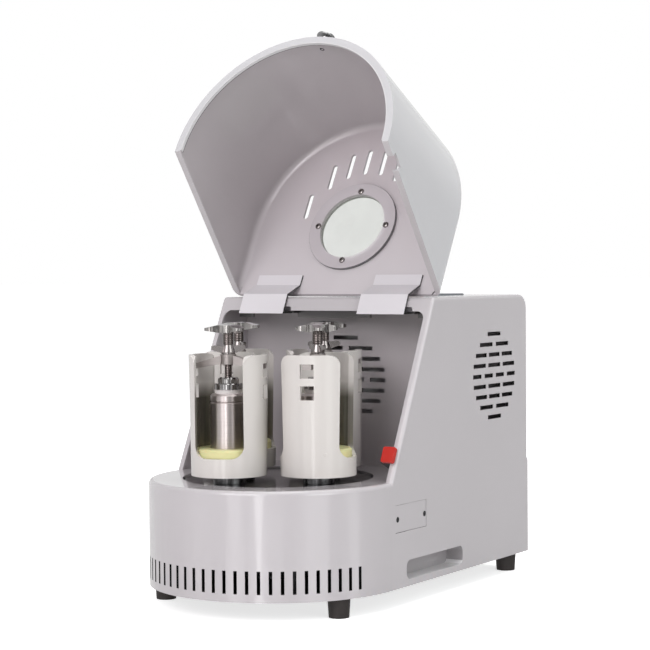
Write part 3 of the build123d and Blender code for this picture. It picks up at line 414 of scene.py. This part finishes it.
def plastic(name, colour, roughness, grain=0.2, subsurface=0.0):
    g = Graph(name)
    fine = g.noise(1400, 2)
    tone = g.noise(22, 3)
    base = g.ramp(tone, ((0.3, shade(colour, 0.94)), (0.7, shade(colour, 1.04))))
    return g.set(color=base, roughness=g.span(tone, roughness - 0.04, roughness + 0.06), specular=0.45,
                 subsurface=subsurface, subsurface_scale=0.004, normal=g.bump(fine, grain, 0.00008))


def rubber(name, colour):
    g = Graph(name)
    fine = g.noise(700, 3)
    dust = g.noise(60, 4)
    base = g.ramp(dust, ((0.35, colour), (0.8, shade(colour, 1.9))))
    return g.set(color=base, roughness=g.span(dust, 0.5, 0.7), specular=0.4, normal=g.bump(fine, 0.35, 0.0002))


def cast_metal(name, colour):
    g = Graph(name)
    sand = g.noise(380, 5, 0.65)
    base = g.ramp(sand, ((0.3, shade(colour, 0.7)), (0.7, shade(colour, 1.2))))
    return g.set(color=base, metallic=0.7, roughness=g.span(sand, 0.5, 0.75), normal=g.bump(sand, 0.5, 0.0004))


def clear_sheet(name):
    """Clear acrylic plate, milky with wipe marks; its border is nearly opaque, painted with a lit copy of the lid's
    paint over the shade beneath the disc, and its rim is a band of dark painted shade.
    """
    g = Graph(name)
    radius, thickness = WINDOW_PANE
    middle = lid_matrix() @ Vector((*WINDOW_CENTRE, LID_INSIDE - thickness / 2))
    away = g.vector("DISTANCE", g.place(), middle).outputs["Value"]
    edge = g.span(away, 0.0, 1.0, radius - 0.00035, radius - 0.00015)
    border = g.span(away, 0.0, 1.0, WINDOW_CLEAR_RADIUS, WINDOW_CLEAR_RADIUS + 0.0002)
    smear = g.noise(18, 4)
    # painted light: lit copy of the lid's paint on the border; painted shade: dark band on the rim
    tone = g.mix(edge, g.mix(border, (0.60, 0.645, 0.575), (0.73, 0.68, 0.71)), (0.17, 0.17, 0.175))
    clear = g.span(smear, 0.26, 0.36, 0.4, 0.9)
    alpha = g.maths("MAXIMUM", clear, g.maths("MULTIPLY", border, 0.78))
    return g.set(color=tone, specular=0.5, alpha=g.maths("MAXIMUM", alpha, g.maths("MULTIPLY", edge, 0.85)),
                 roughness=g.span(smear, 0.03, 0.1, 0.4, 0.9))


MATERIALS = {
    "housing_paint": lambda n: housing_coat(n, (0.60, 0.568, 0.588)),
    # lid: outside paint, painted shade for the hood's inner walls, and the inner plate's painted gradient from shaded
    # to lit
    "lid_paint": lambda n: lid_coat(n, (0.66, 0.655, 0.675), (0.52, 0.485, 0.50), (0.58, 0.525, 0.545),
                                    (0.72, 0.675, 0.70)),
    # the bulkhead's faces turned sideways or up and down get near-black painted shade
    "bulkhead_paint": lambda n: powder_coat(n, (0.56, 0.525, 0.54), 0.34, shaded_facing=(1, 0, 1)),
    "seat_paint": lambda n: powder_coat(n, (0.735, 0.70, 0.672), 0.2, 0.2, coat=0.25),
    "disk_paint": lambda n: powder_coat(n, (0.038, 0.036, 0.038), 0.14, 0.3, coat=0.3),
    "plate_steel": lambda n: sheet_metal(n, (0.78, 0.78, 0.80), 0.36),
    "shaft_steel": lambda n: turned_metal(n, (0.16, 0.16, 0.165), 0.2),
    "jar_steel": lambda n: turned_metal(n, (0.56, 0.505, 0.495), 0.33, metallic=0.92, sweep=0.9, depth=0.06),
    "cap_steel": lambda n: cap_and_seal(n, (0.32, 0.31, 0.31), (0.82, 0.78, 0.77), 0.07),
    "wheel_chrome": lambda n: screw_and_wheel(n, (0.42, 0.40, 0.39), (0.14, 0.12, 0.115), 0.12),
    "bearing_iron": lambda n: cast_metal(n, (0.28, 0.28, 0.29)),
    "motor_paint": lambda n: powder_coat(n, (0.09, 0.10, 0.12), 0.34, 0.5),
    "feet_rubber": lambda n: rubber(n, (0.028, 0.023, 0.022)),
    "belt_rubber": lambda n: rubber(n, (0.015, 0.015, 0.015)),
    "edging_rubber": lambda n: rubber(n, (0.03, 0.028, 0.03)),
    "adaptor_plastic": lambda n: plastic(n, (0.78, 0.745, 0.39), 0.35, 0.15, 0.1),
    "red_plastic": lambda n: plastic(n, (0.55, 0.028, 0.02), 0.2, 0.1),
    "black_plastic": lambda n: plastic(n, (0.02, 0.02, 0.02), 0.42, 0.4),
    "keypad_film": lambda n: plastic(n, (0.16, 0.18, 0.2), 0.38, 0.2),
    "window_glass": clear_sheet,
    "knob_steel": lambda n: polished(n, (0.34, 0.34, 0.34), 0.12),
}
# finishes that the record has no slot for
EXTRA_FINISHES = {
    "lip_paint": lambda n: powder_coat(n, (0.72, 0.71, 0.72), 0.2, 0.15),
    "display_film": lambda n: plastic(n, (0.012, 0.016, 0.02), 0.12, 0.02),
    "key_film": lambda n: plastic(n, (0.42, 0.44, 0.47), 0.36, 0.2),
    "pad_steel": lambda n: turned_metal(n, (0.34, 0.33, 0.325), 0.12),
    "nut_chrome": lambda n: polished(n, (0.30, 0.275, 0.27), 0.1),
    "bar_steel": lambda n: turned_metal(n, (0.37, 0.335, 0.325), 0.36, ring=0.002, metallic=0.85, sweep=0.0),
    # arms: a paler, lit copy of the lid's paint, with near-black painted shade on their side faces
    "arm_paint": lambda n: powder_coat(n, (0.82, 0.79, 0.825), 0.2, 0.15, coat=0.5, shaded_facing=(1, 0, 0), shade_tone=0.04),
    "bracket_steel": lambda n: sheet_metal(n, (0.17, 0.165, 0.165), 0.4),
    # base frame painted near black as shade, where it shows through the front vents
    "base_steel_shaded": lambda n: sheet_metal(n, (0.10, 0.10, 0.105), 0.4),
    "dark_steel": lambda n: polished(n, (0.14, 0.14, 0.145), 0.1),
    **{f"seat_coat_{k}": lambda n, k=k: seat_coat(n, (0.735, 0.70, 0.672), (0.20, 0.19, 0.155), k)
       for k in STATIONS},
}
NODE_FINISH = {
    "hinge_arms": "arm_paint",
    "hinge_bracket": "bracket_steel",
    "base_frame": "base_steel_shaded",
    **{f"jar_seat_{k}": f"seat_coat_{k}" for k in STATIONS},
    **{f"pressure_pad_{k}": "pad_steel" for k in STATIONS},
    **{f"lock_nut_{k}": "nut_chrome" for k in STATIONS},
    **{f"clamp_bar_{k}": "bar_steel" for k in STATIONS},
}


def station_centre(number):
    bearing = radians(FIRST_BEARING + 90 * (number - 1))
    return STATION_RADIUS * sin(bearing), AXIS_Y - STATION_RADIUS * cos(bearing)


def dress_nodes(frame):
    """Every carried-over node takes its slot's material, or the finish that NODE_FINISH gives it."""
    made = {slot: build(slot) for slot, build in {**MATERIALS, **EXTRA_FINISHES}.items()}
    for part in frame["record"]["subparts"]:
        mesh = frame["nodes"][part["node"]].data
        mesh.materials.clear()
        mesh.materials.append(made[NODE_FINISH.get(part["node"], part["material_slot"])])
    return made


# ------------------------------------------------------------------ small pieces
def lid_matrix():
    """From the closed lid's frame to its rest pose."""
    return Matrix.Translation(HINGE) @ Matrix.Rotation(radians(-LID_OPEN), 4, "X") @ Matrix.Translation(-HINGE)


def finish_piece(name, build, body, slot, made, smooth=35):
    """Mesh to object: normals, finish, and the body that it rides on."""
    bmesh.ops.recalc_face_normals(build, faces=build.faces)
    mesh = bpy.data.meshes.new(name)
    build.to_mesh(mesh)
    build.free()
    piece = bpy.data.objects.new(name, mesh)
    bpy.context.scene.collection.objects.link(piece)
    mesh.materials.append(made[slot])
    for face in mesh.polygons:
        face.use_smooth = True
    mesh.set_sharp_from_angle(angle=radians(smooth))
    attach(piece, body)
    return piece


def ring_of(build, radius, z, count, turn=0.0):
    if radius == 0:
        return [build.verts.new((0, 0, z))]
    return [
        build.verts.new((radius * cos(turn + 2 * pi * i / count), radius * sin(turn + 2 * pi * i / count), z))
        for i in range(count)
    ]


def skin_rings(build, rings):
    """Faces between neighbouring rings; a ring of one point closes an end."""
    for low, high in zip(rings, rings[1:]):
        count = max(len(low), len(high))
        for i in range(count):
            j = (i + 1) % count
            corners = [low[i % len(low)], low[j % len(low)], high[j % len(high)], high[i % len(high)]]
            build.faces.new(list(dict.fromkeys(corners)))


def screw_head(name, place, outward, radius, height, body, made, slot="knob_steel", shank=0.0, turn=0.0):
    """Button head with a six-sided socket, and a shank below it where one shows."""
    build = bmesh.new()
    sides = 24
    profile = [(radius, 0), (radius, 0.3 * height), (0.86 * radius, 0.72 * height), (0.6 * radius, height)]
    if shank:
        profile = [(0, -shank), (0.55 * radius, -shank), (0.55 * radius, 0)] + profile
    rings = [ring_of(build, r, z, sides) for r, z in profile]
    skin_rings(build, rings)
    if not shank:
        build.faces.new(rings[0])
    socket_top = ring_of(build, 0.48 * radius, height, 6, turn)
    socket_low = ring_of(build, 0.44 * radius, 0.35 * height, 6, turn)
    for i in range(6):
        build.faces.new([socket_top[i], socket_top[(i + 1) % 6], socket_low[(i + 1) % 6], socket_low[i]])
    build.faces.new(socket_low)
    step = sides // 6
    shift = round(turn / (2 * pi) * sides)
    for i in range(sides):
        corner, onward = rings[-1][i], rings[-1][(i + 1) % sides]
        sector = ((i - shift) % sides) // step
        nearest = socket_top[sector]
        build.faces.new([corner, onward, nearest])
        if ((i - shift) % sides) % step == step - 1:
            build.faces.new([onward, socket_top[(sector + 1) % 6], nearest])
    turn_up = Vector((0, 0, 1)).rotation_difference(Vector(outward)).to_matrix().to_4x4()
    bmesh.ops.transform(build, matrix=Matrix.Translation(place) @ turn_up, verts=build.verts)
    return finish_piece(name, build, body, slot, made)


def turned_piece(name, profile, matrix, body, slot, made, sides=64):
    """Solid of revolution about its own Z; the profile's points are (radius, height)."""
    build = bmesh.new()
    skin_rings(build, [ring_of(build, r, z, sides) for r, z in profile])
    bmesh.ops.transform(build, matrix=matrix, verts=build.verts)
    return finish_piece(name, build, body, slot, made)


def window_disc(made):
    """Clear disc with eased edges, a hair off the lid's paint."""
    radius, thickness = WINDOW_PANE
    ease = 0.0004
    profile = ((0, 0), (radius - ease, 0), (radius, ease), (radius, thickness - ease), (radius - ease, thickness),
               (0, thickness))
    place = Matrix.Translation((*WINDOW_CENTRE, LID_INSIDE - PAINT_GAP)) @ Matrix.Rotation(pi, 4, "X")
    disc = turned_piece("window_disc", profile, lid_matrix() @ place, "lid", "window_glass", made, 128)
    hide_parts("window_pane")


def window_screws(made):
    """Four screws that clamp the clear disc to the lid."""
    thickness = WINDOW_PANE[1]
    to_rest = lid_matrix()
    inward = to_rest.to_3x3() @ Vector((0, 0, -1))
    for quarter in range(4):
        angle = radians(90 * quarter)
        place = Vector((WINDOW_CENTRE[0] + WINDOW_SCREW_CIRCLE * sin(angle),
                        WINDOW_CENTRE[1] + WINDOW_SCREW_CIRCLE * cos(angle), LID_INSIDE - thickness - PAINT_GAP))
        screw_head(f"window_screw_{quarter + 1}", to_rest @ place, inward, *WINDOW_SCREW_HEAD, "lid", made,
                   shank=thickness, slot="nut_chrome")


def lid_pull(made):
    """Turned pull on the hood's front, and the screw that holds it, seen inside the hood."""
    outward = Matrix.Rotation(radians(90), 4, "X")
    foot = Matrix.Translation((KNOB_ACROSS, AXIS_Y - KNOB_SCREW_RADIUS - 0.002, LID_RIM + KNOB_UP))
    pull = turned_piece("lid_pull", PULL_PROFILE, lid_matrix() @ foot @ outward, "lid", "knob_steel", made)
    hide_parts("lid_knob")
    place = Vector((KNOB_ACROSS, AXIS_Y - KNOB_SCREW_RADIUS, LID_RIM + KNOB_UP))
    inward = lid_matrix().to_3x3() @ Vector((0, 1, 0))
    screw_head("pull_screw", lid_matrix() @ place, inward, *PULL_SCREW_HEAD, "lid", made, slot="dark_steel")


def access_screws(made):
    for number, along in enumerate(ACCESS_SCREWS, 1):
        screw_head(f"access_screw_{number}", (ACCESS_FACE, along, ACCESS_SCREW_UP), (1, 0, 0), *ACCESS_SCREW_HEAD,
                   "housing", made, slot="dark_steel", turn=0.4)


def rear_panel_screws(made):
    """Screws round the rear cover, through the wall's edge."""
    low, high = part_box("rear_panel")
    inset = REAR_LAP / 2
    left, right, bottom, top = low[0] + inset, high[0] - inset, low[2] + inset, high[2] - inset
    places = [(x, bottom + (top - bottom) * i / 3) for x in (left, right) for i in range(4)]
    places += [(0, bottom), (0, top)]
    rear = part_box("housing_shell")[1][1]
    for number, (x, z) in enumerate(places, 1):
        screw_head(f"rear_screw_{number}", (x, rear, z), (0, 1, 0), *REAR_SCREW_HEAD, "housing", made)


def skin_sections(build, sections):
    """Faces along a strip with four-cornered sections, and its two ends."""
    for near, far in zip(sections, sections[1:]):
        for i in range(4):
            j = (i + 1) % 4
            build.faces.new([near[i], near[j], far[j], far[i]])
    build.faces.new(sections[0])
    build.faces.new(sections[-1])


def arc_strip(name, centre, radius, thickness, low, high, start, end, steps, matrix, body, slot, made):
    """Thin upright wall that follows an arc; angles in degrees from the front, towards the right."""
    build = bmesh.new()
    sections = []
    for i in range(steps + 1):
        angle = radians(start + (end - start) * i / steps)
        across, ahead = sin(angle), -cos(angle)
        sections.append([
            build.verts.new((centre[0] + r * across, centre[1] + r * ahead, z))
            for r, z in ((radius, low), (radius - thickness, low), (radius - thickness, high), (radius, high))
        ])
    skin_sections(build, sections)
    bmesh.ops.transform(build, matrix=matrix, verts=build.verts)
    return finish_piece(name, build, body, slot, made)


def lid_lip(made):
    """Turned-in lip round the inner edge of the hood's rim, and behind it a thin dark strip that is painted shadow."""
    arc_strip("rim_lip", (0, AXIS_Y), LID_MOUTH_RADIUS, 0.0012, LID_RIM, LID_RIM + LIP_HEIGHT, -91, 91, 64,
              lid_matrix(), "lid", "lip_paint", made)
    # painted shadow: thin dark strip along the lip's inner edge
    arc_strip("rim_shadow_strip", (0, AXIS_Y), LID_MOUTH_RADIUS - 0.0003, 0.0006, LID_RIM + LIP_HEIGHT,
              LID_RIM + 0.005, -91, 91, 64, lid_matrix(), "lid", "edging_rubber", made)


def corner_shadow(made):
    """Dark curved strip at the rear corner of the lid's plate, near the right arm: painted shadow of the gap under the
    arm.
    """
    x, y, radius = CORNER_SHADOW
    first, sweep, steps = CORNER_SHADOW_ARC
    build = bmesh.new()
    sections = []
    for i in range(steps + 1):
        angle = radians(first + sweep * i / steps)
        width = 0.0003 + 0.0014 * sin(pi * i / steps)
        sections.append([
            build.verts.new((x + r * cos(angle), y + r * sin(angle), z))
            for r, z in ((radius - width, LID_INSIDE), (radius, LID_INSIDE), (radius, LID_INSIDE - 0.00015),
                         (radius - width, LID_INSIDE - 0.00015))
        ])
    skin_sections(build, sections)
    bmesh.ops.transform(build, matrix=lid_matrix(), verts=build.verts)
    finish_piece("corner_shadow", build, "lid", "edging_rubber", made)


def seat_screws(made):
    """Small set screw in the foot of each jar seat, 0.3 mm proud."""
    for number in STATIONS:
        centre = Vector((*station_centre(number), 0))
        facing = radians(FIRST_BEARING + 90 * (number - 1) + SEAT_SCREW_TURN)
        outward = Vector((sin(facing), -cos(facing), 0))
        place = centre + outward * SEAT_SCREW_RADIUS + Vector((0, 0, SEAT_SCREW_Z))
        screw_head(f"seat_screw_{number}", place, outward, *SEAT_SCREW_HEAD, f"station_{number}", made,
                   slot="seat_paint")


def rounded_plate(name, x, y, z, length, width, height, corner, body, slot, made, top_inset=0.0004):
    """Low pad with round corners, such as a key or a display window."""
    build = bmesh.new()
    rings = []
    for inset, up in ((0, 0), (0, height - top_inset), (top_inset, height)):
        ring = []
        for quarter in range(4):
            sign_x = 1 if quarter in (0, 3) else -1
            sign_y = 1 if quarter in (0, 1) else -1
            for i in range(5):
                angle = radians(90 * quarter + 22.5 * i)
                ring.append(build.verts.new((
                    x + sign_x * (length / 2 - corner) + (corner - inset) * cos(angle),
                    y + sign_y * (width / 2 - corner) + (corner - inset) * sin(angle), z + up)))
        rings.append(ring)
    skin_rings(build, rings)
    build.faces.new(rings[0])
    build.faces.new(rings[-1])
    return finish_piece(name, build, body, slot, made)


def keypad(made):
    """Display window and eight blank keys on the control plate."""
    low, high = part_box("control_panel")
    middle_y = (low[1] + high[1]) / 2
    top = high[2]
    rounded_plate("display_window", 0, middle_y + DISPLAY_AHEAD, top, *DISPLAY, PAD_CORNER, "housing",
                  "display_film", made)
    for row in range(2):
        for column in range(4):
            x = (column - 1.5) * KEY_PITCH[0]
            y = middle_y - KEY_ROW_BACK - KEY_PITCH[1] * row
            slot = "red_plastic" if (row, column) == (1, 3) else "key_film"
            rounded_plate(f"key_{row * 4 + column + 1}", x, y, top, *KEY, PAD_CORNER, "housing",
                          slot, made)


# ------------------------------------------------------------------ stage, light and camera
def seen_directly(tree):
    """Light Path, and 1 for what the camera sees, also through glass."""
    path = tree.nodes.new("ShaderNodeLightPath")
    either = tree.nodes.new("ShaderNodeMath")
    either.operation = "MAXIMUM"
    tree.links.new(path.outputs["Is Camera Ray"], either.inputs[0])
    tree.links.new(path.outputs["Is Transmission Ray"], either.inputs[1])
    return path, either.outputs[0]


def floor_and_backdrop():
    """Pale floor that turns white for the camera away from the object's shadow."""
    bpy.ops.mesh.primitive_plane_add(size=60, location=(0, 20, 0))
    floor = bpy.context.object
    floor.name = "floor"
    g = Graph("pale_floor")
    g.set(color=(0.86, 0.86, 0.86), roughness=0.9, specular=0.0)
    g.shader.inputs["Emission Color"].default_value = (1, 1, 1, 1)
    g.link(g.maths("MULTIPLY", seen_directly(g.tree)[1], FLOOR_GLOW), g.shader.inputs["Emission Strength"])
    floor.data.materials.append(g.material)
    floor.visible_glossy = False


def world_light():
    """White for the camera; bright and dark panels round a studio for gloss; plain soft light for the rest."""
    world = bpy.data.worlds.new("studio")
    bpy.context.scene.world = world
    world.use_nodes = True
    tree = world.node_tree
    nodes, links = tree.nodes, tree.links
    soft = nodes["Background"]
    white = nodes.new("ShaderNodeBackground")
    panels = nodes.new("ShaderNodeBackground")
    for background, strength in ((soft, SOFT_LIGHT), (white, 1.0), (panels, PANEL_STRENGTH)):
        background.inputs["Color"].default_value = (1, 1, 1, 1)
        background.inputs["Strength"].default_value = strength

    where = nodes.new("ShaderNodeTexCoord")
    split = nodes.new("ShaderNodeSeparateXYZ")
    links.new(where.outputs["Generated"], split.inputs[0])
    around = nodes.new("ShaderNodeMath")
    around.operation = "ARCTAN2"
    links.new(split.outputs["Y"], around.inputs[0])
    links.new(split.outputs["X"], around.inputs[1])
    turn = nodes.new("ShaderNodeMapRange")
    turn.inputs["From Min"].default_value = -pi
    turn.inputs["From Max"].default_value = pi
    links.new(around.outputs[0], turn.inputs["Value"])
    ring = nodes.new("ShaderNodeValToRGB")
    while len(ring.color_ramp.elements) < len(STUDIO_PANELS):
        ring.color_ramp.elements.new(0.5)
    for element, (at, level) in zip(ring.color_ramp.elements, STUDIO_PANELS):
        element.position = at
        element.color = (level / PANEL_STRENGTH, level / PANEL_STRENGTH, level / PANEL_STRENGTH, 1)
    links.new(turn.outputs[0], ring.inputs["Fac"])
    overhead = nodes.new("ShaderNodeMapRange")
    overhead.interpolation_type = "SMOOTHSTEP"
    overhead.inputs["From Min"].default_value = 0.1
    overhead.inputs["From Max"].default_value = 0.4
    links.new(split.outputs["Z"], overhead.inputs["Value"])
    dome = nodes.new("ShaderNodeMix")
    dome.data_type = "RGBA"
    links.new(overhead.outputs[0], dome.inputs[0])
    links.new(ring.outputs["Color"], dome.inputs[6])
    above = OVERHEAD_IN_GLOSS / PANEL_STRENGTH
    dome.inputs[7].default_value = (above, above, above, 1)
    links.new(dome.outputs[2], panels.inputs["Color"])

    path, direct = seen_directly(tree)
    shown = nodes.new("ShaderNodeMixShader")
    links.new(path.outputs["Is Glossy Ray"], shown.inputs[0])
    links.new(soft.outputs[0], shown.inputs[1])
    links.new(panels.outputs[0], shown.inputs[2])
    blend = nodes.new("ShaderNodeMixShader")
    links.new(direct, blend.inputs[0])
    links.new(shown.outputs[0], blend.inputs[1])
    links.new(white.outputs[0], blend.inputs[2])
    links.new(blend.outputs[0], nodes["World Output"].inputs["Surface"])


def area_light(name, place, aim, size, power, tint=(1, 1, 1)):
    lamp = bpy.data.lights.new(name, "AREA")
    lamp.color = tint
    lamp.shape = "RECTANGLE"
    lamp.size, lamp.size_y = size
    lamp.energy = power
    holder = bpy.data.objects.new(name, lamp)
    bpy.context.scene.collection.objects.link(holder)
    holder.location = place
    holder.rotation_euler = (Vector(aim) - Vector(place)).to_track_quat("-Z", "Y").to_euler()


def lights():
    middle = (0, 0, 0.35)
    area_light("overhead", (0.3, 0.4, 2.6), middle, (2.4, 2.0), 32)
    area_light("key", (-0.05, -2.7, 1.75), middle, (2.0, 1.7), 40, (1.0, 0.97, 0.99))
    area_light("fill", (2.6, -0.5, 1.3), middle, (1.4, 1.8), 18, (0.955, 1.0, 0.985))


def camera():
    data = bpy.data.cameras.new("camera")
    data.sensor_width = SENSOR
    data.lens = FOCAL_PIXELS / IMAGE_WIDTH * SENSOR
    data.clip_end = 100
    holder = bpy.data.objects.new("camera", data)
    bpy.context.scene.collection.objects.link(holder)
    turn = (Matrix.Rotation(radians(CAMERA_YAW), 4, "Z") @ Matrix.Rotation(radians(90 - CAMERA_DOWN), 4, "X")
            @ Matrix.Rotation(radians(CAMERA_ROLL), 4, "Z"))
    holder.matrix_world = Matrix.Translation(CAMERA_PLACE) @ turn
    bpy.context.scene.camera = holder


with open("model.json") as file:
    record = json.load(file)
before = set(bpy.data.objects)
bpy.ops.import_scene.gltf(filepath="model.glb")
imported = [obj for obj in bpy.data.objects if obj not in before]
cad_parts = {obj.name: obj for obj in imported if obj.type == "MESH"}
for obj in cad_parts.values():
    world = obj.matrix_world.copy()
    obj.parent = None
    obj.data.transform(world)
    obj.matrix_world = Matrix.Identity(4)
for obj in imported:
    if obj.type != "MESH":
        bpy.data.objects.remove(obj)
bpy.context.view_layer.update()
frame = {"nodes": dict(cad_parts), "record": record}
camera()
bpy.context.scene.view_settings.view_transform = "Standard"
world_light()
lights()
floor_and_backdrop()
materials = dress_nodes(frame)
window_disc(materials)
window_screws(materials)
lid_pull(materials)
access_screws(materials)
rear_panel_screws(materials)
lid_lip(materials)
corner_shadow(materials)
seat_screws(materials)
keypad(materials)
